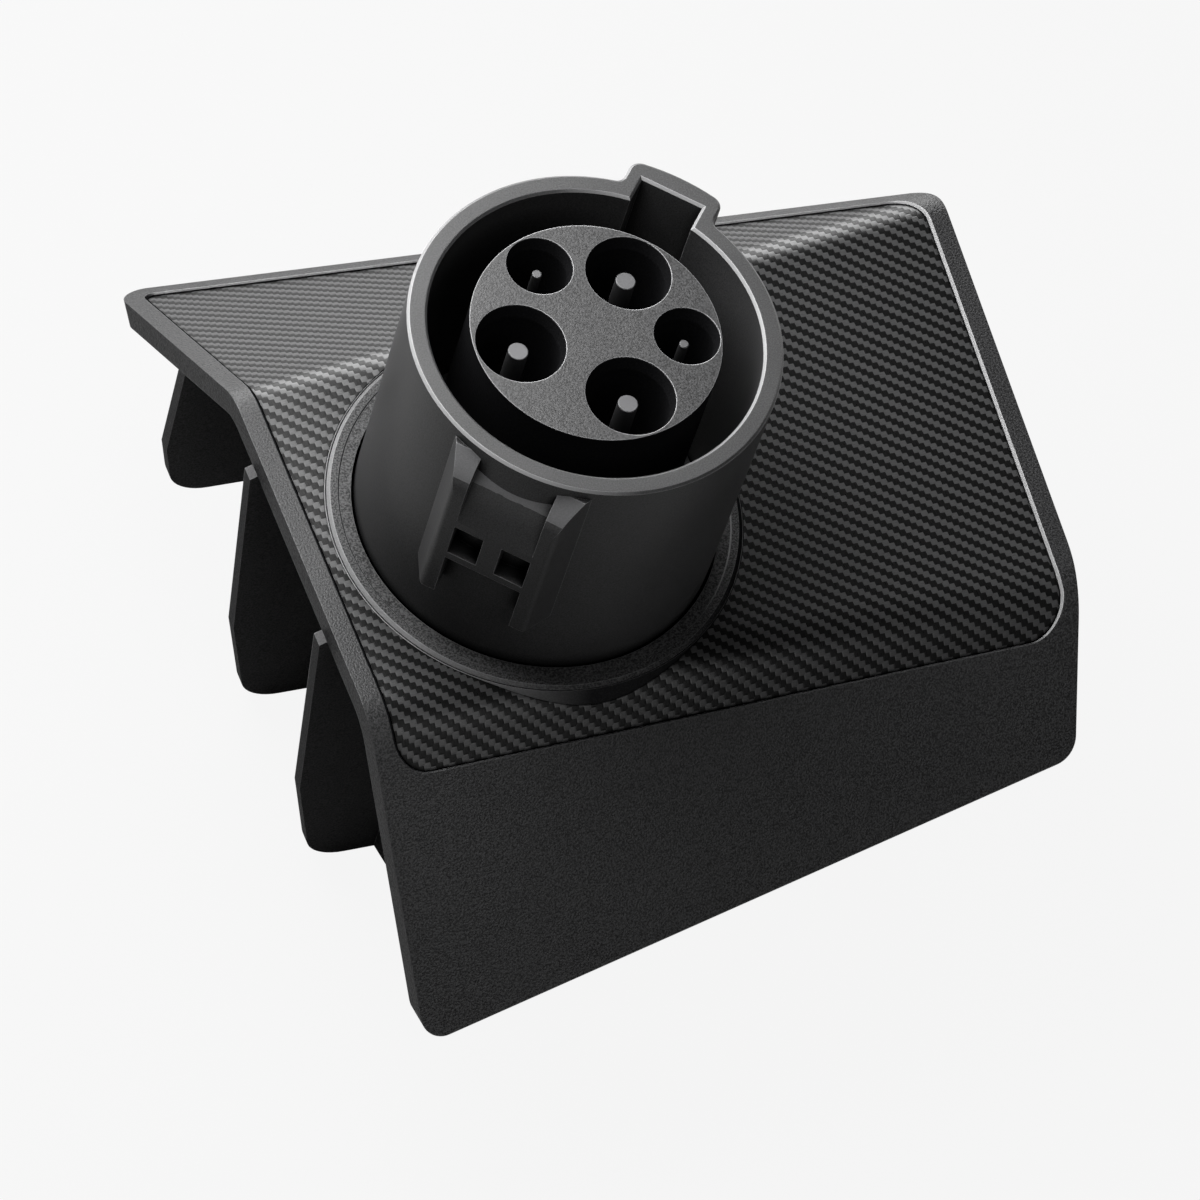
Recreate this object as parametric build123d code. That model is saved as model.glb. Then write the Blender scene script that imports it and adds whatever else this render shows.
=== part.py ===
from build123d import *
import math
import os

# Charging adapter dock, in millimetres.
# While it is modelled, the socket's axis is X = Y = 0 and the flat top of the cover is Z = 0.
# X runs to the right along the fins, Y to the rear and Z up. The last section moves everything
# so that the origin is on the resting plane, below the middle of the object.

# Cover: plan sizes
socket_from_left = 33.9
rear_bend_at_left = 27.1
front_bend_at_left = 25.0
rear_bend_skew = 3.3
front_bend_skew = 3.9
rear_right_x = 76.4
bend_right_inset = 6.5
front_right_inset = 12.1
kink_behind_bend = 5.7

# Cover: slopes and drops
rear_fall = 37.5
front_fall = 39.4
rear_drop_left = 28.7
rear_drop_right = 1.8
front_drop_left = 28.5
front_drop_right = 14.5
cover_thickness = 3.4
rear_bend_radius = 9.0
front_bend_radius = 11.0
rear_end_slope = 27.8
front_end_slope = 18.8
rear_left_corner = 3.4
rear_right_corner = 4.8
side_corner = 30.0
front_right_corner = 4.2
front_left_corner = 3.0

# Insert and its border
side_border = 2.8
rear_border = 1.7
border_height = 0.45
border_bevel = 0.36
insert_thickness = 0.8
adhesive_thickness = 0.15
adhesive_inset = 0.6
insert_gap = 0.15
insert_past_bend_left = 6.65
insert_past_bend_right = 4.4
insert_rear_left_corner = 1.2
insert_rear_right_corner = 5.0
insert_front_right_corner = 6.0
insert_front_left_corner = 4.2

# Collar and socket
barrel_gap = 0.4
sleeve_wall = 1.65
ring_step = 0.15
ring_step_bevel = 0.15
collar_wall = 1.65
collar_bevel = 0.45
collar_seam = 0.12
hub_lip = 0.1
hub_draft = 24.0
hub_gap = 0.1
hub_depth = 8.0
flange_thickness = 2.5
socket_depth = 16.3
pad_thickness = 1.0
pad_width = 7.65
pad_gap = 0.4
floor_thickness = 2.5
floor_bevel = 2.0

# Rib tray
tray_width = 103.5
tray_height = 65.0
rear_fin_height = 45.8
fin_thickness = 2.0
rear_fin_y = 40.5
middle_fin_y = 16.0
front_fin_y = -10.9
fin_shoulder = 1.0
fin_shoulder_drop = 0.6
fin_kink_depth = 43.9
fin_kink_inset = 2.7
fin_foot_inset = 7.5
rear_fin_kink_depth = 34.0
rear_fin_kink_inset = 0.1
rear_fin_foot_inset = 2.6
fin_foot_radius = 6.5
wall_inset = 17.2
wall_thickness = 2.0
wall_rise_run = 13.0
wall_rise = 4.8
wall_toe_gap = 2.0
deck_thickness = 2.5
well_gap = 1.2
window_width = 20.0
window_sill = 3.5
tray_gap = 0.3

# Posts and screws of the cover
post_radius = 3.4
post_left_x = -7.0
post_hub_gap = 0.7
post_wall_gap = 3.0
post_right_rear_y = 22.0
post_right_front_y = -5.0
screw_radius = 1.4
screw_length = 8.0
head_radius = 2.7
head_height = 1.7
drive_width = 1.5
drive_depth = 1.0
thread_gap = 0.05
hole_gap = 0.15
hole_spare = 0.5

# Adapter shell
adapter_turn = 134.7
barrel_height = 42.2
bore_radius = 22.15
shell_wall = 2.65
bore_depth = 39.0
rim_break = 0.35
ledge_width = 1.6
key_half_width = 4.4
key_depth = 3.45
key_wall = 2.2
key_back = 3.0
key_corner = 1.8
key_blend = 1.2
key_length = 34.0
latch_rise = 2.2
latch_sink = 2.3
latch_inner = 5.4
latch_rib_width = 2.1
latch_flank = 9.6
latch_round = 1.0
latch_lip = 0.03
latch_top_sink = 1.0
latch_top = 1.8
latch_full = 8.0
latch_bottom = 30.2
ramp_top = 3.8
ramp_top_sink = 1.2
ramp_bottom = 13.4
ramp_steepness = 5.0
bar_bottom = 22.0
bar_frame = 1.3
bar_post = 2.6
window_sink = 1.4

# Inlet core
core_radius = 16.65
core_plate_thickness = 4.0
mouth_depth = 2.1
well_floor = 33.0
pin_tip_depth = 1.8
pin_tip_break = 0.1
pin_tail = 4.0
seal_thickness = 1.0
seal_width = 1.4
radial_gap = 0.1
pin_gap = 0.05

# Plug nose
nose_length = 43.5
nose_width = 26.0
nose_depth = 21.0
nose_corner = 10.0
nose_flange = 3.5
nose_end_round = 1.5
contact_recess = 3.0
contact_wall = 0.9
contact_bore = 22.0
strap_thickness = 1.6
screw_margin = 2.2
screw_angles = [0.0, 90.0, 180.0]
core_post_radius = 2.9

# Contacts: name, inlet place, mouth radius, well radius, pin radius, nose place, contact radius
contacts = [
    ("line_1", (-7.85, 6.8), 6.0, 5.55, 1.35, (-6.2, 3.2), 3.2),
    ("line_2", (7.85, 6.8), 6.0, 5.55, 1.35, (6.2, 3.2), 3.2),
    ("ground", (0.0, -10.7), 5.75, 5.3, 1.35, (0.0, -5.2), 2.3),
    ("pilot", (-10.6, -5.6), 4.45, 4.0, 0.65, (-6.3, -5.0), 1.6),
    ("proximity", (10.6, -5.6), 4.45, 4.0, 0.65, (6.3, -5.0), 1.6),
]

# Values worked out from the sizes above; cutting shapes are as long as reach and start at cut_top
reach = 400.0
cut_top = 4.0
left_x = -socket_from_left
bend_right_x = rear_right_x - bend_right_inset
front_right_x = rear_right_x - front_right_inset
rear_slope = math.tan(math.radians(rear_fall))
front_slope = math.tan(math.radians(front_fall))
rear_skew_slope = math.tan(math.radians(rear_bend_skew))
front_skew_slope = math.tan(math.radians(front_bend_skew))
barrel_radius = bore_radius + shell_wall
key_reach = bore_radius + key_depth
key_rim_radius = key_reach + key_back
latch_root = barrel_radius - latch_sink
latch_reach = barrel_radius + latch_rise
latch_flank_root = math.sqrt(barrel_radius**2 - latch_flank**2) + latch_lip
latch_top_reach = barrel_radius - latch_top_sink
ramp_top_reach = barrel_radius - ramp_top_sink
sleeve_inner = barrel_radius + barrel_gap
pad_outer_radius = sleeve_inner - pad_gap
sleeve_outer = sleeve_inner + sleeve_wall
collar_outer = sleeve_outer + collar_wall
hub_inner = collar_outer + collar_seam
hub_top_radius = hub_inner + hub_lip
hub_outer = hub_top_radius + (cover_thickness - border_height) * math.tan(math.radians(hub_draft))
post_left_y = math.sqrt((hub_outer + post_hub_gap + post_radius) ** 2 - post_left_x**2)
post_right_x = left_x + tray_width - wall_inset - wall_thickness - post_wall_gap - post_radius
post_places = [
    (post_left_x, post_left_y),
    (post_left_x, -post_left_y),
    (post_right_x, post_right_rear_y),
    (post_right_x, post_right_front_y),
]
corner_cut_length = 3 * cover_thickness
window_cut_length = 3 * fin_thickness
seat_level = -socket_depth
floor_level = seat_level - pad_thickness
deck_level = floor_level - floor_thickness
deck_bottom = deck_level - deck_thickness
shoulder = -(barrel_height + socket_depth)
core_level = -bore_depth
seal_level = core_level - core_plate_thickness
ledge_level = seal_level - seal_thickness
flange_level = shoulder + nose_flange
pin_end = seal_level - pin_tail
strap_end = pin_end - strap_thickness
nose_end = shoulder - nose_length
well_radius = math.hypot(nose_width / 2 - nose_corner, nose_depth / 2 - nose_corner) + nose_corner + well_gap
adapter_screw_seat = shoulder + head_height + hole_gap
screw_circle = bore_radius - radial_gap - hole_gap - head_radius - screw_margin
screw_places = []
for angle in screw_angles:
    turn = math.radians(angle)
    screw_places.append((screw_circle * math.cos(turn), screw_circle * math.sin(turn)))


def rear_bend_y(x):
    return rear_bend_at_left + (x - left_x) * rear_skew_slope


def front_bend_y(x):
    return -front_bend_at_left - (x - left_x) * front_skew_slope


def rear_edge_y(x, drop):
    return rear_bend_y(x) + drop / rear_slope / math.cos(math.radians(rear_bend_skew))


def front_edge_y(x, drop):
    return front_bend_y(x) - drop / front_slope / math.cos(math.radians(front_bend_skew))


# Bends of the cover: place, way down in plan, fall and radius
bends = (
    (rear_bend_at_left, math.radians(90.0 + rear_bend_skew), math.radians(rear_fall), rear_bend_radius),
    (-front_bend_at_left, math.radians(-90.0 - front_bend_skew), math.radians(front_fall), front_bend_radius),
)


def facet_normal(way, fall):
    return Vector(math.cos(way) * math.sin(fall), math.sin(way) * math.sin(fall), math.cos(fall))


# The body below the cover's top faces, sunk by some depth
def faceted_body(depth):
    body = Pos(0, 0, -reach / 2 - depth) * Box(reach, reach, reach)
    for bend_y, way, fall, radius in bends:
        normal = facet_normal(way, fall)
        foot = Vector(left_x, bend_y, 0) - normal * depth
        body = split(body, bisect_by=Plane(origin=foot, z_dir=normal), keep=Keep.BOTTOM)
    for bend_y, way, fall, radius in bends:
        along = Vector(-math.sin(way), math.cos(way), 0)
        shift = depth * math.tan(fall / 2)
        middle = Vector(left_x, bend_y, -depth) - Vector(math.cos(way), math.sin(way), 0) * shift
        edges = body.edges().filter_by(lambda e: abs(abs((e % 0.5).dot(along)) - 1) < 1e-6)
        edge = edges.sort_by_distance(middle)[0]
        body = fillet(edge, radius - depth)
    return body


# A vertical prism over a polygon with rounded corners
def rounded_prism(points, radii, top, bottom):
    count = len(points)
    lines = []
    starts = []
    ends = []
    arcs = []
    for i in range(count):
        corner = Vector(*points[i])
        back = (Vector(*points[i - 1]) - corner).normalized()
        ahead = (Vector(*points[(i + 1) % count]) - corner).normalized()
        half = math.acos(max(-1.0, min(1.0, back.dot(ahead)))) / 2
        cut = radii[i] / math.tan(half)
        start = corner + back * cut
        end = corner + ahead * cut
        centre = corner + (back + ahead).normalized() * (radii[i] / math.sin(half))
        middle = centre + (corner - centre).normalized() * radii[i]
        starts.append(start)
        ends.append(end)
        arcs.append(ThreePointArc(start, middle, end))
    for i in range(count):
        lines.append(arcs[i])
        lines.append(Line(ends[i], starts[(i + 1) % count]))
    face = make_face(Wire(lines)).face()
    if face.normal_at().Z < 0:
        face = -face
    return Pos(0, 0, bottom) * extrude(face, amount=top - bottom, dir=(0, 0, 1))


def tube(outer, inner, top, bottom):
    ring = Circle(outer) - Circle(inner)
    return Pos(0, 0, bottom) * extrude(ring, amount=top - bottom)


def rod(radius, top, bottom, place=(0, 0)):
    return Pos(place[0], place[1], (top + bottom) / 2) * Cylinder(radius, top - bottom)


# Pan-head screw with its head down, its seat at one level and its tip above it
def screw(place, seat):
    body = rod(screw_radius, seat + screw_length, seat, place)
    body = body + rod(head_radius, seat, seat - head_height, place)
    drive = Pos(place[0], place[1], seat - head_height + drive_depth / 2)
    return body - drive * Box(drive_width, drive_width, drive_depth)


# Corners of the cover on its outer faces: rear left, rear right, front right and front left
cover_corners = [
    (left_x, rear_edge_y(left_x, rear_drop_left), -rear_drop_left),
    (rear_right_x, rear_edge_y(rear_right_x, rear_drop_right), -rear_drop_right),
    (front_right_x, front_edge_y(front_right_x, front_drop_right), -front_drop_right),
    (left_x, front_edge_y(left_x, front_drop_left), -front_drop_left),
]
kink = (bend_right_x, front_bend_y(bend_right_x) + kink_behind_bend)


# Where two plan lines meet, each given by two points and moved inwards to its right
def meet(first, first_inset, second, second_inset):
    ways = []
    for (a, b), inset in ((first, first_inset), (second, second_inset)):
        way = (Vector(*b) - Vector(*a)).normalized()
        inwards = Vector(way.Y, -way.X)
        ways.append((Vector(*a) + inwards * inset, way))
    (p, u), (q, v) = ways
    gap = q - p
    share = (gap.X * v.Y - gap.Y * v.X) / (u.X * v.Y - u.Y * v.X)
    point = p + u * share
    return (point.X, point.Y)


front_line_left = front_bend_y(left_x) - insert_past_bend_left
front_line_right = front_bend_y(bend_right_x) - insert_past_bend_right
rear_line = (cover_corners[0][:2], cover_corners[1][:2])
right_line = (cover_corners[1][:2], kink)
front_line = ((bend_right_x, front_line_right), (left_x, front_line_left))
left_line = (cover_corners[3][:2], cover_corners[0][:2])


def insert_outline(extra):
    side = side_border + border_bevel + extra
    rear = rear_border + border_bevel + extra
    return [
        meet(left_line, side, rear_line, rear),
        meet(rear_line, rear, right_line, side),
        meet(right_line, side, front_line, extra),
        meet(front_line, extra, left_line, side),
    ]


insert_radii = [
    insert_rear_left_corner,
    insert_rear_right_corner,
    insert_front_right_corner,
    insert_front_left_corner,
]


# Point far along the line from one point through another
def beyond(start, end):
    way = (Vector(*end) - Vector(*start)).normalized() * reach / 2
    return (end[0] + way.X, end[1] + way.Y)


# Plane of the cover's end: it holds two corners and slopes down towards the middle
def end_plane(first, second, way, slope):
    along = Vector(*second) - Vector(*first)
    down = Vector(0, -way * math.cos(math.radians(slope)), -math.sin(math.radians(slope)))
    normal = along.cross(down)
    if normal.Y * way < 0:
        normal = normal * -1
    return Plane(origin=first, z_dir=normal)


# What a rounded corner takes away: a prism along the line where the side and the end meet
def corner_cutter(corner, side_point, end_corner, radius, end, bend):
    point = Vector(*corner)
    side = Vector(side_point[0] - corner[0], side_point[1] - corner[1])
    side_normal = Vector(side.Y, -side.X).normalized()
    back = side_normal.cross(facet_normal(bend[1], bend[2])).normalized()
    if back.dot(side) < 0:
        back = back * -1
    ahead = (Vector(*end_corner) - point).normalized()
    half = math.acos(back.dot(ahead)) / 2
    start = point + back * (radius / math.tan(half))
    stop = point + ahead * (radius / math.tan(half))
    centre = point + (back + ahead).normalized() * (radius / math.sin(half))
    middle = centre + (point - centre).normalized() * radius
    outside = [
        start + (start - centre).normalized() * radius,
        point + (point - centre) * 2,
        stop + (stop - centre).normalized() * radius,
    ]
    face = make_face([Polyline(start, *outside, stop), ThreePointArc(stop, middle, start)]).face()
    axis = end.z_dir.cross(side_normal).normalized()
    return extrude(face, amount=corner_cut_length, dir=axis, both=True)


# Hub round the socket: conical through the plate's thickness, then straight
def hub_body(extra):
    cone_height = cover_thickness - border_height
    cone = Cone(hub_outer + extra, hub_top_radius + extra, cone_height)
    body = Pos(0, 0, -border_height - cone_height / 2) * cone
    return body + rod(hub_outer + extra, -cover_thickness, -hub_depth)


# Top cover: three facets with a raised border, a hub round the socket and posts for the screws
def make_cover():
    plan = [
        (left_x, reach / 2),
        beyond(kink, cover_corners[1][:2]),
        kink,
        beyond(kink, cover_corners[2][:2]),
        (left_x, -reach / 2),
    ]
    plate = rounded_prism(plan, [side_corner] * len(plan), cut_top, -tray_height)
    plate = (plate & faceted_body(0)) - faceted_body(cover_thickness)
    rear_left, rear_right, front_right, front_left = cover_corners
    rear_end = end_plane(rear_left, rear_right, 1, rear_end_slope)
    front_end = end_plane(front_left, front_right, -1, front_end_slope)
    plate = split(plate, bisect_by=rear_end, keep=Keep.BOTTOM)
    plate = split(plate, bisect_by=front_end, keep=Keep.BOTTOM)
    plate = plate - corner_cutter(rear_left, front_left, rear_right, rear_left_corner, rear_end, bends[0])
    plate = plate - corner_cutter(rear_right, kink, rear_left, rear_right_corner, rear_end, bends[0])
    plate = plate - corner_cutter(front_right, kink, front_left, front_right_corner, front_end, bends[1])
    plate = plate - corner_cutter(front_left, rear_left, front_right, front_left_corner, front_end, bends[1])
    recess_floor = faceted_body(border_height + insert_thickness + adhesive_thickness)
    recess = rounded_prism(insert_outline(0), insert_radii, cut_top, -tray_height) - recess_floor
    recessed = plate - recess
    skin = faceted_body(border_height / 2)
    rim = new_edges(plate, recess, combined=recessed)
    rim = rim.filter_by(lambda e: not skin.is_inside(e @ 0.5))
    plate = chamfer(rim, border_bevel)
    cover = (plate + hub_body(0)) - rod(hub_inner, cut_top, -hub_depth)
    hole_depth = screw_length - deck_thickness + hole_spare
    for place in post_places:
        post = rod(post_radius, 0, deck_level, place) & recess_floor
        cover = cover + (post - rod(screw_radius + thread_gap, deck_level + hole_depth, deck_level, place))
    return cover


# A sheet that follows the cover's top between two depths, with the hub's hole
def inlaid_sheet(top_depth, bottom_depth, inset):
    radii = [radius - inset for radius in insert_radii]
    sheet = rounded_prism(insert_outline(inset), radii, cut_top, -tray_height)
    sheet = (sheet & faceted_body(top_depth)) - faceted_body(bottom_depth)
    return sheet - hub_body(hub_gap) - rod(hub_top_radius + hub_gap, cut_top, -border_height)


def make_insert():
    return inlaid_sheet(border_height, border_height + insert_thickness, insert_gap)


def make_adhesive():
    top_depth = border_height + insert_thickness
    return inlaid_sheet(top_depth, top_depth + adhesive_thickness, insert_gap + adhesive_inset)


# Round edge of a turned piece: at its foot or top, and the smallest or largest there
def round_edge(shape, level, order):
    rings = shape.edges().filter_by(GeomType.CIRCLE).group_by(Axis.Z)[level]
    return rings.sort_by(SortBy.RADIUS)[order]


# Socket sleeve: the two-step collar ring and the cup below it that the barrel stands in
def make_sleeve():
    collar = tube(collar_outer, sleeve_outer, 0, -hub_depth)
    collar = chamfer(round_edge(collar, -1, -1), collar_bevel)
    collar = chamfer(round_edge(collar, -1, 0), ring_step_bevel)
    wall = tube(sleeve_outer, sleeve_inner, -ring_step, floor_level)
    flange = tube(hub_outer, sleeve_inner, -hub_depth, -hub_depth - flange_thickness)
    floor = tube(sleeve_outer, well_radius, floor_level, deck_level)
    floor = chamfer(round_edge(floor, 0, -1), floor_bevel)
    return collar + wall + flange + floor


def make_pad():
    return tube(pad_outer_radius, pad_outer_radius - pad_width, seat_level, floor_level)


# A fin's own plane: it is parallel to the front bend
def fin_slab(y):
    place = Pos(left_x, y, 0) * Rot(0, 0, -front_bend_skew)
    return place * Pos(0, fin_thickness / 2, 0) * Box(reach, fin_thickness, reach)


def make_fin(y, height, kink_depth, kink_inset, foot_inset, shoulder_width):
    half = [
        (-shoulder_width, -cover_thickness - fin_shoulder_drop),
        (kink_inset, -kink_depth),
        (foot_inset, -height),
    ]
    left = [(left_x + inset, z) for inset, z in half]
    right = [(left_x + tray_width - inset, z) for inset, z in reversed(half)]
    top = [(left_x + tray_width, -cover_thickness), (left_x, -cover_thickness)]
    if shoulder_width == 0:
        top = [(left_x + tray_width, 0), (left_x, 0)]
        left = left[1:]
        right = right[:-1]
    points = left + right + top
    profile = make_face(Polyline(*[(x, 0, z) for x, z in points], close=True)).face()
    feet = profile.vertices().group_by(Axis.Z)[0]
    profile = profile.fillet_2d(fin_foot_radius, feet)
    return extrude(profile, amount=reach / 2, dir=(0, 1, 0), both=True) & fin_slab(y)


def fin_front_y(y, x):
    return y - (x - left_x) * front_skew_slope


# Level of the front facet's lower edge
def front_drop(x):
    share = (x - left_x) / (front_right_x - left_x)
    return front_drop_left + (front_drop_right - front_drop_left) * share


# Front end of a lengthwise wall, just behind the front facet
def wall_toe_y(x):
    facet_depth = cover_thickness / math.sin(math.radians(front_fall))
    return front_edge_y(x, front_drop(x)) + facet_depth + wall_toe_gap


# A lengthwise wall of the tray, from the rear fin to the front facet
def make_wall(x):
    depth_at_fin = fin_thickness / math.cos(math.radians(front_bend_skew))
    points = [
        (fin_front_y(rear_fin_y, x) + depth_at_fin / 2, 0),
        (fin_front_y(rear_fin_y, x) + depth_at_fin / 2, -rear_fin_height),
        (fin_front_y(middle_fin_y, x) + depth_at_fin / 2, -tray_height),
        (fin_front_y(front_fin_y, x) + depth_at_fin / 2, -tray_height),
        (fin_front_y(front_fin_y, x), -tray_height),
        (fin_front_y(front_fin_y, x) - wall_rise_run, -tray_height + wall_rise),
        (wall_toe_y(x), -front_drop(x)),
        (wall_toe_y(x), 0),
    ]
    face = make_face(Polyline(*[(x, y, z) for y, z in points], close=True)).face()
    return extrude(face, amount=wall_thickness / 2, dir=(1, 0, 0), both=True)


# Rib tray: three fins, two lengthwise walls and a deck, one moulding
def make_tray():
    tray = make_fin(
        rear_fin_y, rear_fin_height, rear_fin_kink_depth, rear_fin_kink_inset, rear_fin_foot_inset, 0
    )
    for y in (middle_fin_y, front_fin_y):
        tray = tray + make_fin(y, tray_height, fin_kink_depth, fin_kink_inset, fin_foot_inset, fin_shoulder)
    wall_places = (
        left_x + wall_inset + wall_thickness / 2,
        left_x + tray_width - wall_inset - wall_thickness / 2,
    )
    for x in wall_places:
        tray = tray + make_wall(x)
    corners = [(x, fin_front_y(rear_fin_y, x) + fin_thickness / 2) for x in wall_places]
    corners = corners + [(wall_places[1], fin_front_y(front_fin_y, wall_places[1]) + fin_thickness / 2)]
    corners = corners + [(wall_places[0], wall_toe_y(wall_places[0]))]
    deck_face = make_face(Polyline(*[(x, y, deck_bottom) for x, y in corners], close=True)).face()
    tray = tray + extrude(deck_face, amount=deck_thickness, dir=(0, 0, 1))
    tray = tray & faceted_body(cover_thickness)
    tray = tray - rod(sleeve_outer + tray_gap, cut_top, deck_level)
    tray = tray - rod(hub_outer + tray_gap, cut_top, -hub_depth - flange_thickness - tray_gap)
    tray = tray - rod(well_radius, deck_level, deck_bottom - tray_gap)
    window_height = deck_bottom + tray_height - window_sill
    window_place = Pos(0, fin_front_y(front_fin_y, 0), deck_bottom - window_height / 2)
    tray = tray - window_place * Box(window_width, window_cut_length, window_height)
    for place in post_places:
        tray = tray - rod(screw_radius + hole_gap, deck_level, deck_bottom, place)
    return tray


def make_cover_screws():
    return [screw(place, deck_bottom) for place in post_places]


# Adapter shell, in the adapter's own frame: rim at Z = 0, latch catch towards +Y
def make_shell():
    key_width = 2 * (key_half_width + key_wall)
    bump = Circle(key_rim_radius) & Pos(0, -key_rim_radius / 2) * Rectangle(key_width, key_rim_radius)
    outline_face = Circle(barrel_radius) + bump
    corners = outline_face.vertices().filter_by(lambda v: v.Y < -barrel_radius / 2)
    rim_corners = corners.filter_by(lambda v: math.hypot(v.X, v.Y) > barrel_radius + key_wall / 2)
    outline_face = fillet(rim_corners, key_corner)
    roots = outline_face.vertices().filter_by(lambda v: v.Y < -barrel_radius / 2)
    roots = roots.filter_by(lambda v: math.hypot(v.X, v.Y) < barrel_radius + rim_break)
    outline_face = fillet(roots, key_blend)
    shell = Pos(0, 0, -key_length) * extrude(outline_face, amount=key_length)
    shell = shell + rod(barrel_radius, 0, shoulder)
    shell = shell + make_latch()
    slot = Pos(0, -key_reach / 2) * Rectangle(2 * key_half_width, key_reach)
    bore_face = Circle(bore_radius) + slot
    shell = shell - Pos(0, 0, -bore_depth) * extrude(bore_face, amount=bore_depth)
    shell = shell - rod(bore_radius, core_level, ledge_level)
    shell = shell - rod(bore_radius - ledge_width, ledge_level, flange_level)
    shell = shell - rod(bore_radius, flange_level, shoulder)
    return chamfer(shell.edges().group_by(Axis.Z)[-1], rim_break)


# Latch catch: two ribs, a ramp between them and a cross bar with two windows
def make_latch():
    rib_profile = make_face([
        Polyline((0, latch_root, -latch_top), (0, latch_top_reach, -latch_top)),
        Spline(
            (0, latch_top_reach, -latch_top),
            (0, latch_reach, -latch_full),
            tangents=((0, 1, -1), (0, 0, -1)),
        ),
        Polyline(
            (0, latch_reach, -latch_full),
            (0, latch_reach, -latch_bottom),
            (0, latch_root, -latch_bottom),
            (0, latch_root, -latch_top),
        ),
    ]).face()
    rib_side = extrude(rib_profile, amount=latch_flank, dir=(1, 0, 0), both=True)
    latch = Part()
    for side in (-1, 1):
        section = [
            (side * latch_inner, latch_root),
            (side * latch_inner, latch_reach),
            (side * (latch_inner + latch_rib_width), latch_reach),
            (side * latch_flank, latch_flank_root),
            (side * latch_flank, latch_root),
        ]
        face = make_face(Polyline(*[(x, y, -latch_bottom) for x, y in section], close=True)).face()
        outer_corner = face.vertices().sort_by_distance(Vector(*section[2], -latch_bottom))[0]
        face = face.fillet_2d(latch_round, [outer_corner])
        latch = latch + (extrude(face, amount=latch_bottom, dir=(0, 0, 1)) & rib_side)
    ramp_profile = make_face([
        Spline(
            (0, ramp_top_reach, -ramp_top),
            (0, latch_reach, -ramp_bottom),
            tangents=((0, 1, -1), (0, 1, -ramp_steepness)),
        ),
        Polyline(
            (0, latch_reach, -ramp_bottom),
            (0, latch_reach, -bar_bottom),
            (0, latch_root, -bar_bottom),
            (0, latch_root, -ramp_top),
            (0, ramp_top_reach, -ramp_top),
        ),
    ]).face()
    latch = latch + extrude(ramp_profile, amount=latch_inner, dir=(1, 0, 0), both=True)
    window_top = -ramp_bottom - bar_frame
    window_bottom = -bar_bottom + bar_frame
    window_width_each = latch_inner - bar_post / 2
    for side in (-1, 1):
        place = Pos(
            side * (bar_post / 2 + window_width_each / 2),
            (latch_reach + barrel_radius - window_sink) / 2,
            (window_top + window_bottom) / 2,
        )
        latch = latch - place * Box(window_width_each, latch_rise + window_sink, window_top - window_bottom)
    return latch


# Inlet core: the round block with the five wells
def make_core():
    core = rod(core_radius, 0, core_level)
    for name, place, mouth, well, pin, nose_place, contact in contacts:
        funnel = Pos(place[0], place[1], -mouth_depth / 2) * Cone(well, mouth, mouth_depth)
        core = core - funnel - rod(well, -mouth_depth, -well_floor, place)
        core = core - rod(pin + pin_gap, -well_floor, core_level, place)
    return core


# Core plate: it closes the shell's bore below the core, holds the pins and has a post for each screw
def make_core_plate():
    plate = rod(bore_radius - radial_gap, core_level, seal_level)
    hole_top = adapter_screw_seat + screw_length + hole_spare
    for place in screw_places:
        plate = plate + rod(core_post_radius, seal_level, flange_level, place)
        plate = plate - rod(screw_radius + thread_gap, hole_top, flange_level, place)
    for name, place, mouth, well, pin, nose_place, contact in contacts:
        plate = plate - rod(pin + pin_gap, core_level, seal_level, place)
    return plate


def make_seal():
    outer = bore_radius - radial_gap
    return tube(outer, outer - seal_width, seal_level, ledge_level)


def make_pin(place, radius):
    pin = rod(radius, -pin_tip_depth, pin_end, place)
    tip = pin.edges().group_by(Axis.Z)[-1]
    return chamfer(tip, pin_tip_break)


# Strap between a pin's end and the contact's end
def make_strap(place, nose_place, radius):
    way = Vector(nose_place[0] - place[0], nose_place[1] - place[1])
    angle = math.degrees(math.atan2(way.Y, way.X))
    middle = ((place[0] + nose_place[0]) / 2, (place[1] + nose_place[1]) / 2)
    face = Pos(*middle) * Rot(0, 0, angle) * SlotCenterToCenter(way.length, 2 * radius)
    return Pos(0, 0, strap_end) * extrude(face, amount=strap_thickness)


def make_contact(nose_place, radius):
    end = nose_end + contact_recess
    contact = rod(radius, strap_end, end, nose_place)
    return contact - rod(radius - contact_wall, end + contact_bore, end, nose_place)


# Plug nose: the end that goes into the car, with the flange that closes the shell
def make_nose():
    face = RectangleRounded(nose_width, nose_depth, nose_corner)
    nose = Pos(0, 0, nose_end) * extrude(face, amount=flange_level - nose_end)
    nose = fillet(nose.edges().group_by(Axis.Z)[0], nose_end_round)
    nose = nose + rod(bore_radius - radial_gap, flange_level, shoulder)
    for place in screw_places:
        nose = nose - rod(screw_radius + hole_gap, flange_level, adapter_screw_seat, place)
        nose = nose - rod(head_radius + hole_gap, adapter_screw_seat, shoulder, place)
    for name, place, mouth, well, pin, nose_place, contact in contacts:
        nose = nose - rod(contact + radial_gap, flange_level, nose_end, nose_place)
    return nose


def make_adapter_screws():
    return [screw(place, adapter_screw_seat) for place in screw_places]


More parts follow.
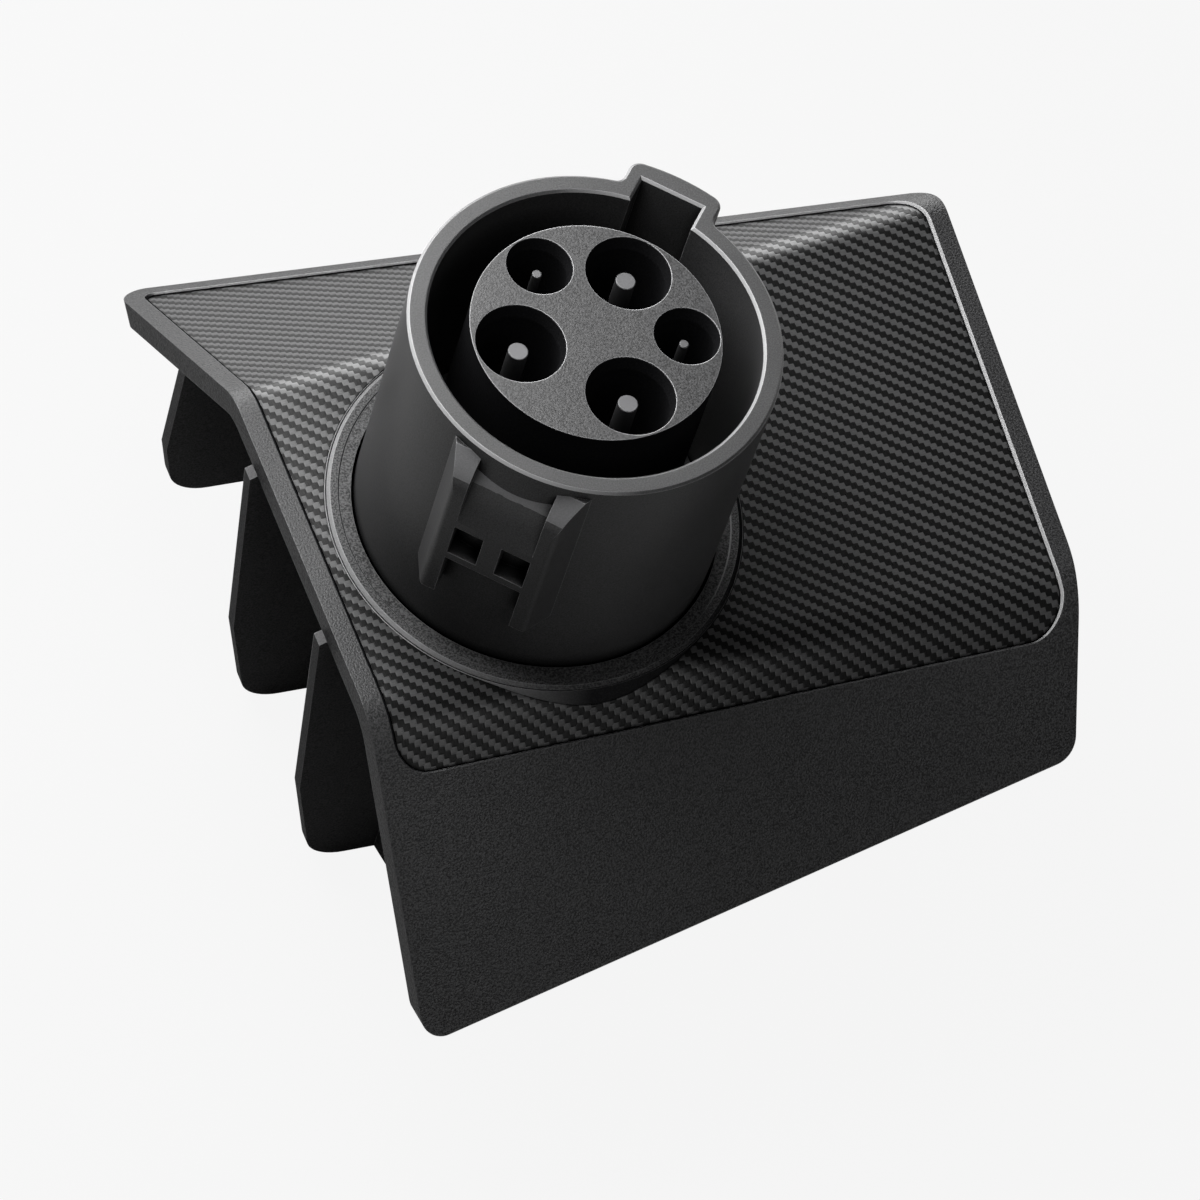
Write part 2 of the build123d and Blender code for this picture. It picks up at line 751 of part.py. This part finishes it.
# Every piece by its name: first the dock's, then the adapter's
pieces = {
    "top_cover": make_cover(),
    "carbon_insert": make_insert(),
    "insert_adhesive": make_adhesive(),
    "socket_sleeve": make_sleeve(),
    "seat_pad": make_pad(),
    "rib_tray": make_tray(),
    "cover_screws": make_cover_screws(),
}
adapter = {
    "adapter_shell": make_shell(),
    "inlet_core": make_core(),
    "core_plate": make_core_plate(),
    "core_seal": make_seal(),
    "plug_nose": make_nose(),
    "adapter_screws": make_adapter_screws(),
}
for name, place, mouth, well, pin, nose_place, contact in contacts:
    adapter["pin_" + name] = make_pin(place, pin)
    adapter["strap_" + name] = make_strap(place, nose_place, contact)
    adapter["contact_" + name] = make_contact(nose_place, contact)

# The adapter stands in the socket, turned so that its latch catch faces front left
seated = Pos(0, 0, barrel_height) * Rot(0, 0, adapter_turn)
for name, piece in adapter.items():
    pieces[name] = [seated * solid for solid in piece] if isinstance(piece, list) else seated * piece

# Move the origin to the resting plane, below the middle of the object, and write the files
groups = {}
for name, piece in pieces.items():
    groups[name] = Compound(piece) if isinstance(piece, list) else piece
box = Compound(list(groups.values())).bounding_box()
to_origin = Pos(-box.center().X, -box.center().Y, -box.min.Z)
os.makedirs("parts", exist_ok=True)
for name, group in groups.items():
    export_step(to_origin * group, "parts/" + name + ".step")
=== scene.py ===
import math
from collections import namedtuple

import bpy
from mathutils import Matrix, Vector


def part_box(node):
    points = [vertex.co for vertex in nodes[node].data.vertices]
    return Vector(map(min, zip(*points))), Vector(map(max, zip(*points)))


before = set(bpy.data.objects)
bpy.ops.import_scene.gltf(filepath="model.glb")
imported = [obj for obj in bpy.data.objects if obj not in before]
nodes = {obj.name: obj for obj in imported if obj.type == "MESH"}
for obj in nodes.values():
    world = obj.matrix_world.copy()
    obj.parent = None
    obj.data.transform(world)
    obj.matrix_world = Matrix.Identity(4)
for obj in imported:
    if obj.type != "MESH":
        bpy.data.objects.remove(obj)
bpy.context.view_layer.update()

# Lengths are in metres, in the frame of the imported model. The shaders work in millimetres.
MM = 0.001

# The socket's axis, and the cover's left edge and flat top
socket_low, socket_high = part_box("core_seal")
axis_x = (socket_low.x + socket_high.x) / 2
axis_y = (socket_low.y + socket_high.y) / 2
cover_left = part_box("top_cover")[0].x
cover_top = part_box("top_cover")[1].z

# The cover's two bends: place and radius in millimetres, skew and fall in degrees. The place is
# how far the bend lies from the socket's axis at the cover's left edge.
rear_bend = {"way": 1, "place": 27.1, "skew": 3.3, "fall": 37.5, "radius": 9.0}
front_bend = {"way": -1, "place": 25.0, "skew": 3.9, "fall": 39.4, "radius": 11.0}

# Twill: the pitch of the tows in millimetres, the turn of the two directions in degrees, and in
# tows, where the count of each direction starts, how far a light square reaches from its centre
# and how wide the rounding at its edge is
tow_pitch = 0.6656
u_skew = 1.74
v_skew = 2.39
u_start = 0.920
v_start = -0.206
patch_reach = 0.72
tow_rounding = 0.3

# Fibres of a tow: streaks to a tow along and across it, and how far they change the tone of light
# and dark tows, the gloss and the height
streaks_along = 0.5
streaks_across = 7.0
light_streaks = 0.4
dark_streaks = 0.5
fibre_gloss = 0.06
fibre_height = 0.3

# Film of the twill: its gloss and roughness, and in millimetres its relief, its rounded edges and
# the reach of the painted shade, a dark line along the border
light_gloss = 0.70
dark_gloss = 0.27
matt_fibre, glossy_fibre = 0.33, 0.27
film_relief = 0.012
film_edge = 0.12
film_crevice = 0.6

# Colours, linear
background_tone = 0.92
ground_glow = 0.972
ground_tone = 0.4
ground_roughness = 0.9
cover_black = (0.040, 0.040, 0.041)
sleeve_black = (0.080, 0.080, 0.081)
shell_black = (0.062, 0.062, 0.063)
# Painted light: a lighter black for the upward faces of the shell's rim
painted_rim_light = (0.080, 0.080, 0.081)
core_black = (0.042, 0.042, 0.043)
# Painted shade: the dark of the cover's steep walls round the socket, under the ring
painted_hub_shade = (0.032, 0.032, 0.033)
# Painted shade: a near black for the wells of the core and for the sloping faces that face right
painted_shade_black = (0.012, 0.012, 0.013)
# Painted shade: the near black of the shell's hollows, close beside walls
painted_hollow_shade = (0.0036, 0.0036, 0.0039)
# Painted shade: the black of the carbon film close beside the border and the ring
painted_crevice_shade = (0.001, 0.001, 0.001)
# Painted light: a lighter grey for the upward faces of the rib tray
painted_top_light = (0.150, 0.150, 0.152)
# Painted highlight: a lighter grey for the shell's sloping faces that face left, such as the
# latch's
painted_latch_light = (0.240, 0.240, 0.245)
# Painted highlight: a lighter grey for the sleeve's sloping faces that face left
painted_ring_light = (0.290, 0.290, 0.293)
# Painted highlight: a light grey for the sloping faces that face left, on the cover's bevels and
# the rim's outer bevel
painted_bevel_light = (0.400, 0.400, 0.404)
tray_black = (0.075, 0.075, 0.076)
light_tow = (0.066, 0.066, 0.067)
dark_tow = (0.007, 0.007, 0.007)
pin_metal = (0.20, 0.20, 0.205)
copper = (0.70, 0.42, 0.27)
steel = (0.50, 0.50, 0.51)
rubber_black = (0.020, 0.020, 0.020)

# Noise is taken to lie between these two values
noise_low, noise_high = 0.3, 0.7

# Plastic: how far the grain and the clouds change its tone and roughness, the size of the clouds
# in millimetres, the roughness of the edges, and how much lighter the edges within a zone are
# painted, a painted highlight
grain_tone = 0.6
grain_matt = 0.04
cloud_tone = 0.05
cloud_matt = 0.02
cloud_size = 14.0
worn_roughness = 0.22
zone_edge_highlight = 1.8

# Metal: the scale and range of its turning marks, how far they change the tone and the roughness,
# and in millimetres their relief and the rounded edges
mark_scale = 6.0
mark_low, mark_high = 0.2, 0.8
mark_tone = 0.15
mark_matt = 0.06
mark_relief = 0.004
metal_edge = 0.12

# Cosine of the turn between a face and its rounded edge, where the edges' painted highlight, gloss
# and roughness start and where they are full
edge_turn_start, edge_turn_full = 0.99, 0.90

# Share of the open side that is left where the painted shade in a crevice or a hollow is at its
# darkest, and where it ends
crevice_shut, crevice_clear = 0.80, 0.94
hollow_shut, hollow_clear = 0.35, 0.85

# Kinds of face, by the upward part of their direction: 1 is level and 0 is upright
top_from = 0.85
wall_to = 0.6
bevel_from, bevel_to = 0.4, 0.92
matt_to, glossy_from = 0.2, 0.7

# Bevels fade in between these sideways parts of their direction
side_from, side_full = 0.1, 0.6

# Places of the zones, in millimetres
rim_depth = 0.6
core_skin = 0.2
hub_margin = 3.0

# Studio: the floor's reach in metres, how much of its glow the eye sees, so that the rest shows
# the object's shadow, and the strength of the world on the object
floor_reach = 4.0
glow_share = 0.93
studio_dark = 0.02

# Camera: its place and the directions of its frame, as the photograph was taken
camera_place = Vector((-0.304280, -0.369840, 0.744614))
camera_right = Vector((0.909944, -0.366395, 0.194307))
camera_up = Vector((0.221110, 0.824965, 0.520137))
camera_lens = 183.233
sensor_width = 36.0
clip_near, clip_far = 0.05, 20.0

# Samples of the nodes that look for edges and crevices, and the angle in degrees from which an
# edge of a mesh is sharp
soft_samples = 6
sharp_angle = 24

# A part of a surface painted with light or shade: its mask, its colour, and its shares of the
# gloss and of the grain
Zone = namedtuple("Zone", "mask colour gloss grain")


def add(tree, kind, inputs=None, **settings):
    """A shader node with its settings, and its inputs set or linked by name."""
    node = tree.nodes.new(kind)
    for name, value in settings.items():
        setattr(node, name, value)
    for name, value in (inputs or {}).items():
        if isinstance(value, bpy.types.NodeSocket):
            tree.links.new(value, node.inputs[name])
        else:
            node.inputs[name].default_value = value
    return node


def calc(tree, operation, *values):
    return add(tree, "ShaderNodeMath", dict(enumerate(values)), operation=operation).outputs[0]


def ramp(tree, value, low, high, to_low, to_high):
    inputs = {"Value": value, "From Min": low, "From Max": high,
              "To Min": to_low, "To Max": to_high}
    return add(tree, "ShaderNodeMapRange", inputs).outputs["Result"]


def swing(tree, value, amount):
    """A noise value as a swing about 0, by one amount at most."""
    return ramp(tree, value, noise_low, noise_high, -amount, amount)


def blend(tree, share, first, second):
    """A plain value between two others, of which either may be a socket."""
    mix = add(tree, "ShaderNodeMix", data_type="FLOAT")
    tree.links.new(share, mix.inputs[0])
    for socket, value in ((mix.inputs[2], first), (mix.inputs[3], second)):
        if isinstance(value, bpy.types.NodeSocket):
            tree.links.new(value, socket)
        else:
            socket.default_value = value
    return mix.outputs[0]


def mixed_colour(tree, share, first, second):
    """A colour between two others, of which either may be a socket."""
    mix = add(tree, "ShaderNodeMix", data_type="RGBA")
    tree.links.new(share, mix.inputs[0])
    for socket, colour in ((mix.inputs[6], first), (mix.inputs[7], second)):
        if isinstance(colour, bpy.types.NodeSocket):
            tree.links.new(colour, socket)
        else:
            socket.default_value = (*colour, 1.0)
    return mix.outputs[2]


def shaded(colour, share):
    """A colour made darker or lighter, white at most."""
    return tuple(min(1.0, part * share) for part in colour)


def streaked(tree, share, colour, amount):
    """A colour that a share takes from darker to lighter, by one amount at most."""
    return mixed_colour(tree, share, shaded(colour, 1 - amount), shaded(colour, 1 + amount))


def blank_material(name):
    material = bpy.data.materials.new(name)
    material.use_nodes = True
    tree = material.node_tree
    shader = tree.nodes["Principled BSDF"]
    return material, tree, shader


def place_in_mm(tree):
    """Position on the object in millimetres."""
    geometry = add(tree, "ShaderNodeNewGeometry")
    scaled = add(tree, "ShaderNodeVectorMath", {0: geometry.outputs["Position"]},
                 operation="SCALE")
    scaled.inputs["Scale"].default_value = 1 / MM
    return scaled.outputs[0]


def height_in_mm(tree):
    return add(tree, "ShaderNodeSeparateXYZ", {0: place_in_mm(tree)}).outputs["Z"]


def plan_from_socket(tree):
    """Position in plan from the socket's axis, in millimetres."""
    split = add(tree, "ShaderNodeSeparateXYZ", {0: place_in_mm(tree)})
    x = calc(tree, "SUBTRACT", split.outputs["X"], axis_x / MM)
    y = calc(tree, "SUBTRACT", split.outputs["Y"], axis_y / MM)
    return x, y


def noise(tree, place, scale, detail, roughness):
    inputs = {"Vector": place, "Scale": scale, "Detail": detail, "Roughness": roughness}
    return add(tree, "ShaderNodeTexNoise", inputs).outputs["Fac"]


def normal_part(tree, axis):
    """One part of the surface's own direction, such as Z: 1 on level faces, 0 on upright ones."""
    normal = add(tree, "ShaderNodeNewGeometry").outputs["Normal"]
    return add(tree, "ShaderNodeSeparateXYZ", {0: normal}).outputs[axis]


def rounded_normal(tree, radius):
    """Edges catch light as if they had a small radius."""
    rounding = add(tree, "ShaderNodeBevel", {"Radius": radius * MM}, samples=soft_samples)
    return rounding.outputs["Normal"]


def edge_share(tree, rounded):
    """1 on the rounded edges, 0 on the faces between them."""
    flat = add(tree, "ShaderNodeNewGeometry").outputs["Normal"]
    turn = add(tree, "ShaderNodeVectorMath", {0: rounded, 1: flat}, operation="DOT_PRODUCT")
    return ramp(tree, turn.outputs["Value"], edge_turn_start, edge_turn_full, 0.0, 1.0)


def open_share(tree, reach, shut, clear):
    """0 close beside a wall, 1 in the open. Reach is in millimetres."""
    hidden = add(tree, "ShaderNodeAmbientOcclusion", {"Distance": reach * MM},
                 samples=soft_samples)
    return ramp(tree, hidden.outputs["AO"], shut, clear, 0.0, 1.0)


def add_relief(tree, shader, height, depth, normal, strength=1.0):
    """Bump of one depth in millimetres, on top of the rounded edges."""
    inputs = {"Height": height, "Strength": strength, "Distance": depth * MM, "Normal": normal}
    bump = add(tree, "ShaderNodeBump", inputs)
    tree.links.new(bump.outputs["Normal"], shader.inputs["Normal"])


def moulded(name, colour, roughness, specular, grain=0.26, depth=0.03, edge=0.18, spread=0.30,
            polish=1.0, edge_highlight=3.0, sides=0.05, zones=(), hollow=0.0):
    """Moulded plastic: a fine eroded grain, faint clouds, matt sides and softened edges painted
    lighter, a painted highlight.

    Grain, depth and edge are the grain's size, its depth and the edges' radius, in millimetres.
    Spread is the grain's swing in tone. Polish is the edges' gloss, and edge_highlight is how much
    lighter the edges are painted, a painted highlight. Sides is the share of the gloss on upright
    faces. Places where walls closer than hollow, in millimetres, shut out the light are painted
    darker, a painted shade.
    """
    material, tree, shader = blank_material(name)
    rounded = rounded_normal(tree, edge)
    on_edge = edge_share(tree, rounded)
    place = place_in_mm(tree)
    fine = noise(tree, place, scale=1 / grain, detail=1.5, roughness=0.6)
    cloud = noise(tree, place, scale=1 / cloud_size, detail=3.0, roughness=0.5)
    tone = calc(tree, "ADD", swing(tree, fine, spread), swing(tree, cloud, cloud_tone))
    share = calc(tree, "ADD", tone, 0.5)

    grained = streaked(tree, share, colour, grain_tone)
    # Edges are painted lighter than the faces, a painted highlight
    body = mixed_colour(tree, on_edge, grained, shaded(colour, edge_highlight))
    gloss = blend(tree, on_edge, specular, polish)
    for zone in zones:
        inside = zone.mask(tree)
        grained = streaked(tree, share, zone.colour, grain_tone * zone.grain)
        # Edges within a zone are painted lighter too, a painted highlight
        finish = mixed_colour(tree, on_edge, grained, shaded(zone.colour, zone_edge_highlight))
        body = mixed_colour(tree, inside, body, finish)
        gloss = calc(tree, "MULTIPLY", gloss, blend(tree, inside, 1.0, zone.gloss))
    # Painted shade: places close beside walls, in hollows, are painted near black and lose their
    # gloss
    if hollow:
        in_open = open_share(tree, hollow, hollow_shut, hollow_clear)
        body = mixed_colour(tree, in_open, painted_hollow_shade, body)
        gloss = calc(tree, "MULTIPLY", gloss, in_open)
    facing = ramp(tree, normal_part(tree, "Z"), matt_to, glossy_from, sides, 1.0)
    uneven = calc(tree, "ADD", swing(tree, fine, grain_matt), swing(tree, cloud, cloud_matt))
    matt = blend(tree, on_edge, calc(tree, "ADD", uneven, roughness), worn_roughness)
    tree.links.new(body, shader.inputs["Base Color"])
    tree.links.new(calc(tree, "MULTIPLY", gloss, facing), shader.inputs["Specular IOR Level"])
    tree.links.new(matt, shader.inputs["Roughness"])
    add_relief(tree, shader, fine, depth, rounded)
    return material


def above(tree, level):
    """1 above one level, in millimetres, and 0 below it."""
    return calc(tree, "GREATER_THAN", height_in_mm(tree), level)


def tops_above(level):
    """Mask of the upward faces above one level."""
    def mask(tree):
        upward = calc(tree, "GREATER_THAN", normal_part(tree, "Z"), top_from)
        return calc(tree, "MULTIPLY", above(tree, level), upward)
    return mask


def below(level):
    """Mask of everything below one level."""
    def mask(tree):
        return calc(tree, "LESS_THAN", height_in_mm(tree), level)
    return mask


def bevels(way):
    """Mask of the sloping faces that face left, with -1, or right, with 1."""
    def mask(tree):
        to_side = calc(tree, "MULTIPLY", normal_part(tree, "X"), way)
        upward = normal_part(tree, "Z")
        not_wall = calc(tree, "GREATER_THAN", upward, bevel_from)
        not_top = calc(tree, "LESS_THAN", upward, bevel_to)
        sloping = calc(tree, "MULTIPLY", not_wall, not_top)
        return calc(tree, "MULTIPLY", ramp(tree, to_side, side_from, side_full, 0.0, 1.0), sloping)
    return mask


def bevels_above(level, way):
    """Mask of the sloping faces above one level that face left, with -1, or right, with 1."""
    def mask(tree):
        return calc(tree, "MULTIPLY", above(tree, level), bevels(way)(tree))
    return mask


def walls_round_socket(reach):
    """Mask of the steep faces within one distance of the socket's axis."""
    def mask(tree):
        x, y = plan_from_socket(tree)
        square = calc(tree, "ADD", calc(tree, "MULTIPLY", x, x), calc(tree, "MULTIPLY", y, y))
        near = calc(tree, "LESS_THAN", square, reach * reach)
        steep = calc(tree, "LESS_THAN", normal_part(tree, "Z"), wall_to)
        return calc(tree, "MULTIPLY", near, steep)
    return mask


def metal(name, colour, roughness):
    """Turned or plated metal: fine turning marks and softened edges."""
    material, tree, shader = blank_material(name)
    marks = noise(tree, place_in_mm(tree), scale=mark_scale, detail=3.0, roughness=0.6)
    tone = streaked(tree, marks, colour, mark_tone)
    matt = ramp(tree, marks, mark_low, mark_high, roughness - mark_matt, roughness + mark_matt)
    shader.inputs["Metallic"].default_value = 1.0
    tree.links.new(tone, shader.inputs["Base Color"])
    tree.links.new(matt, shader.inputs["Roughness"])
    add_relief(tree, shader, marks, mark_relief, rounded_normal(tree, metal_edge), strength=0.5)
    return material


def unfolded_step(tree, x, y, bend):
    """How much longer the sheet is than its plan beyond one bend, in millimetres."""
    fall = math.radians(bend["fall"])
    skew = math.tan(math.radians(bend["skew"]))
    start = bend["place"] - bend["radius"] * math.tan(fall / 2)
    from_left = calc(tree, "SUBTRACT", x, (cover_left - axis_x) / MM)
    line = calc(tree, "MULTIPLY_ADD", from_left, skew, start)
    past_line = calc(tree, "SUBTRACT", calc(tree, "MULTIPLY", y, bend["way"]), line)
    plan = calc(tree, "MAXIMUM", past_line, 0.0)
    on_arc = calc(tree, "MINIMUM", plan, bend["radius"] * math.sin(fall))
    arc = calc(tree, "ARCSINE", calc(tree, "DIVIDE", on_arc, bend["radius"]))
    slope = calc(tree, "DIVIDE", calc(tree, "SUBTRACT", plan, on_arc), math.cos(fall))
    length = calc(tree, "MULTIPLY_ADD", arc, bend["radius"], slope)
    return calc(tree, "MULTIPLY", calc(tree, "SUBTRACT", length, plan), bend["way"])


def tow_count(tree, along, across, skew, start):
    """Place on the sheet in tows, in a direction turned a little from one of its sides."""
    turn = math.radians(skew)
    sideways = calc(tree, "MULTIPLY_ADD", across, math.sin(turn) / tow_pitch, start)
    return calc(tree, "MULTIPLY_ADD", along, math.cos(turn) / tow_pitch, sideways)


def fibres(tree, u, v, per_u, per_v):
    """Fine streaks of fibres, so many to a tow in each direction."""
    inputs = {"X": calc(tree, "MULTIPLY", u, per_u), "Y": calc(tree, "MULTIPLY", v, per_v)}
    place = add(tree, "ShaderNodeCombineXYZ", inputs)
    return noise(tree, place.outputs[0], scale=1.0, detail=1.0, roughness=0.5)


def carbon_twill(name):
    """Woven carbon film: square tows, over two and under two, laid along the unfolded sheet."""
    material, tree, shader = blank_material(name)
    x, y = plan_from_socket(tree)
    sheet_y = calc(tree, "ADD", y, unfolded_step(tree, x, y, rear_bend))
    sheet_y = calc(tree, "ADD", sheet_y, unfolded_step(tree, x, y, front_bend))
    u = tow_count(tree, x, sheet_y, u_skew, u_start)
    v = tow_count(tree, sheet_y, x, v_skew, v_start)

    # Light squares stand in chains across the bands, and the dark tow shows between them
    bands = calc(tree, "MULTIPLY", calc(tree, "ADD", u, v), 0.25)
    patches = calc(tree, "MULTIPLY", calc(tree, "SUBTRACT", u, v), 0.5)
    from_band = calc(tree, "PINGPONG", bands, 0.5)
    from_patch = calc(tree, "PINGPONG", patches, 0.5)
    from_centre = calc(tree, "MULTIPLY_ADD", from_band, 2.0, from_patch)
    light_up = calc(tree, "LESS_THAN", from_centre, patch_reach)
    dark_up = calc(tree, "SUBTRACT", 1.0, light_up)
    from_edge = calc(tree, "ABSOLUTE", calc(tree, "SUBTRACT", from_centre, patch_reach))
    crown = ramp(tree, from_edge, 0.0, tow_rounding, 0.0, 1.0)

    light_fibres = fibres(tree, u, v, streaks_along, streaks_across)
    dark_fibres = fibres(tree, u, v, streaks_across, streaks_along)
    light_share = calc(tree, "MULTIPLY", light_fibres, light_up)
    dark_share = calc(tree, "MULTIPLY", dark_fibres, dark_up)
    fibre = calc(tree, "ADD", light_share, dark_share)

    light = streaked(tree, light_fibres, light_tow, light_streaks)
    dark = streaked(tree, dark_fibres, dark_tow, dark_streaks)
    # Painted shade: the film close beside the border and the ring is painted near black and loses
    # its gloss
    in_open = open_share(tree, film_crevice, crevice_shut, crevice_clear)
    weave = mixed_colour(tree, light_up, dark, light)
    body = mixed_colour(tree, in_open, painted_crevice_shade, weave)
    tow_gloss = ramp(tree, light_up, 0.0, 1.0, dark_gloss, light_gloss)
    gloss = calc(tree, "ADD", tow_gloss, swing(tree, fibre, fibre_gloss))
    matt = ramp(tree, fibre, noise_low, noise_high, matt_fibre, glossy_fibre)
    tree.links.new(body, shader.inputs["Base Color"])
    tree.links.new(calc(tree, "MULTIPLY", gloss, in_open), shader.inputs["Specular IOR Level"])
    tree.links.new(matt, shader.inputs["Roughness"])
    height = calc(tree, "ADD", crown, calc(tree, "MULTIPLY", fibre, fibre_height))
    add_relief(tree, shader, height, film_relief, rounded_normal(tree, film_edge))
    return material


def dress(node_name, material):
    obj = nodes[node_name]
    obj.data.materials.clear()
    obj.data.materials.append(material)
    obj.data.shade_smooth()
    obj.data.set_sharp_from_angle(angle=math.radians(sharp_angle))


def plain_ground(name):
    """Pale ground: a plain tone to the eye and in reflections, with the object's shadow faint."""
    material, tree, shader = blank_material(name)
    shader.inputs["Base Color"].default_value = (ground_tone, ground_tone, ground_tone, 1.0)
    shader.inputs["Roughness"].default_value = ground_roughness
    glow_colour = (ground_glow, ground_glow, ground_glow, 1.0)
    glow = add(tree, "ShaderNodeEmission", {"Color": glow_colour, "Strength": 1.0})
    rays = add(tree, "ShaderNodeLightPath")
    seen = calc(tree, "MAXIMUM", rays.outputs["Is Camera Ray"], rays.outputs["Is Glossy Ray"])
    seen = calc(tree, "MAXIMUM", seen, rays.outputs["Is Transmission Ray"])
    mix = add(tree, "ShaderNodeMixShader", {0: calc(tree, "MULTIPLY", seen, glow_share)})
    tree.links.new(shader.outputs[0], mix.inputs[1])
    tree.links.new(glow.outputs[0], mix.inputs[2])
    tree.links.new(mix.outputs[0], tree.nodes["Material Output"].inputs["Surface"])
    return material


def make_floor(reach):
    mesh = bpy.data.meshes.new("floor")
    corners = [(-reach, -reach, 0), (reach, -reach, 0), (reach, reach, 0), (-reach, reach, 0)]
    mesh.from_pydata(corners, [], [(0, 1, 2, 3)])
    mesh.materials.append(plain_ground("pale_ground"))
    floor = bpy.data.objects.new("floor", mesh)
    bpy.context.scene.collection.objects.link(floor)


def make_world(strength):
    """A dark studio, so that black plastic stays black, with a backdrop that looks pale."""
    world = bpy.data.worlds.new("studio")
    world.use_nodes = True
    tree = world.node_tree
    rays = add(tree, "ShaderNodeLightPath")
    level = ramp(tree, rays.outputs["Is Camera Ray"], 0.0, 1.0, strength, background_tone)
    backdrop = tree.nodes["Background"]
    backdrop.inputs["Color"].default_value = (1.0, 1.0, 1.0, 1.0)
    tree.links.new(level, backdrop.inputs["Strength"])
    bpy.context.scene.world = world


def softbox(name, azimuth, elevation, distance, size, power):
    """Square lamp that looks at the socket. Azimuth 0 is in front and 90 is on the right."""
    target = Vector((axis_x, axis_y, cover_top))
    a = math.radians(azimuth)
    e = math.radians(elevation)
    way = Vector((math.sin(a) * math.cos(e), -math.cos(a) * math.cos(e), math.sin(e)))
    lamp = bpy.data.lights.new(name, "AREA")
    lamp.shape = "SQUARE"
    lamp.size = size
    lamp.energy = power
    obj = bpy.data.objects.new(name, lamp)
    turn = way.to_track_quat("Z", "Y").to_matrix().to_4x4()
    obj.matrix_world = Matrix.Translation(target + way * distance) @ turn
    obj.visible_camera = False
    bpy.context.scene.collection.objects.link(obj)


def make_camera():
    data = bpy.data.cameras.new("camera")
    data.sensor_width = sensor_width
    data.sensor_fit = "HORIZONTAL"
    data.lens = camera_lens
    data.clip_start = clip_near
    data.clip_end = clip_far
    camera = bpy.data.objects.new("camera", data)
    turn = Matrix((camera_right, camera_up, camera_right.cross(camera_up))).transposed()
    camera.matrix_world = Matrix.Translation(camera_place) @ turn.to_4x4()
    bpy.context.scene.collection.objects.link(camera)
    bpy.context.scene.camera = camera


# The part
rim_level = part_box("adapter_shell")[1].z / MM - rim_depth
core_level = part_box("inlet_core")[1].z / MM - core_skin
sleeve_low, sleeve_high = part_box("socket_sleeve")
hub_reach = (sleeve_high.x - sleeve_low.x) / 2 / MM + hub_margin

# Painted highlight on the cover's sloping faces that face left
lit_bevel = Zone(bevels(-1), painted_bevel_light, gloss=1.0, grain=0.1)
# Painted shade on the sloping faces that face right, on the cover and the sleeve
shaded_bevel = Zone(bevels(1), painted_shade_black, gloss=0.0, grain=0.3)
# Painted shade on the cover's steep walls round the socket, under the ring
hub_wall_shade = Zone(walls_round_socket(hub_reach), painted_hub_shade, gloss=0.0, grain=0.3)
# Painted highlight on the sleeve's sloping faces that face left
ring_bevel_light = Zone(bevels(-1), painted_ring_light, gloss=1.0, grain=0.1)
# Painted light on the rib tray's upward faces
tray_top_light = Zone(tops_above(0.0), painted_top_light, gloss=1.0, grain=0.5)
# Painted light on the rim's upward faces
rim_top_light = Zone(tops_above(rim_level), painted_rim_light, gloss=1.0, grain=1.0)
# Painted highlight on the rim's sloping faces that face left
rim_bevel_light = Zone(bevels_above(rim_level, -1), painted_bevel_light, gloss=1.0, grain=0.1)
# Painted highlight on the shell's sloping faces that face left, such as the latch's
latch_slope_light = Zone(bevels(-1), painted_latch_light, gloss=1.0, grain=0.3)
# Painted shade in the wells of the core
well_shade = Zone(below(core_level), painted_shade_black, gloss=0.3, grain=0.3)

dressings = {
    "top_cover": moulded("cover_plastic", cover_black, roughness=0.33, specular=0.45,
                         spread=0.9, depth=0.08, sides=0.03,
                         zones=[hub_wall_shade, lit_bevel, shaded_bevel]),
    "carbon_insert": carbon_twill("carbon_twill"),
    "insert_adhesive": moulded("adhesive_film", rubber_black, roughness=0.60, specular=0.30),
    "socket_sleeve": moulded("sleeve_plastic", sleeve_black, roughness=0.40, specular=0.14,
                             spread=0.9, depth=0.08, zones=[ring_bevel_light, shaded_bevel]),
    "seat_pad": moulded("pad_rubber", rubber_black, roughness=0.75, specular=0.30),
    "rib_tray": moulded("tray_plastic", tray_black, roughness=0.55, specular=0.03,
                        polish=0.3, zones=[tray_top_light]),
    "cover_screws": metal("screw_steel", steel, roughness=0.30),
    "adapter_shell": moulded("shell_plastic", shell_black, roughness=0.34, specular=0.50,
                             grain=0.20, depth=0.02, spread=0.25, sides=0.14, edge_highlight=6.0,
                             hollow=2.6, zones=[rim_top_light, latch_slope_light, rim_bevel_light]),
    "inlet_core": moulded("core_plastic", core_black, roughness=0.37, specular=1.0,
                          spread=0.7, edge_highlight=12.0, zones=[well_shade]),
    "core_plate": moulded("core_plate_plastic", core_black, roughness=0.34, specular=0.55,
                          spread=0.2, depth=0.015),
    "core_seal": moulded("seal_rubber", rubber_black, roughness=0.75, specular=0.30),
    "plug_nose": moulded("nose_plastic", shell_black, roughness=0.40, specular=0.30),
    "adapter_screws": metal("adapter_screw_steel", steel, roughness=0.30),
}
pin_finish = metal("pin_plating", pin_metal, roughness=0.55)
strap_finish = metal("strap_copper", copper, roughness=0.35)
for name in ("line_1", "line_2", "ground", "pilot", "proximity"):
    dressings["pin_" + name] = pin_finish
    dressings["strap_" + name] = strap_finish
    dressings["contact_" + name] = pin_finish
for node_name, material in dressings.items():
    dress(node_name, material)

# The studio
make_floor(floor_reach)
make_world(studio_dark)
softbox("key_left", azimuth=-135, elevation=70, distance=0.22, size=0.12, power=0.30)
softbox("side_left", azimuth=-145, elevation=35, distance=0.24, size=0.12, power=0.30)
softbox("key_back", azimuth=180, elevation=50, distance=0.22, size=0.12, power=0.17)
softbox("low_back", azimuth=160, elevation=16, distance=0.45, size=0.22, power=0.90)
softbox("front_fill", azimuth=0, elevation=50, distance=0.60, size=0.35, power=0.34)
make_camera()
bpy.context.scene.view_settings.view_transform = "Standard"
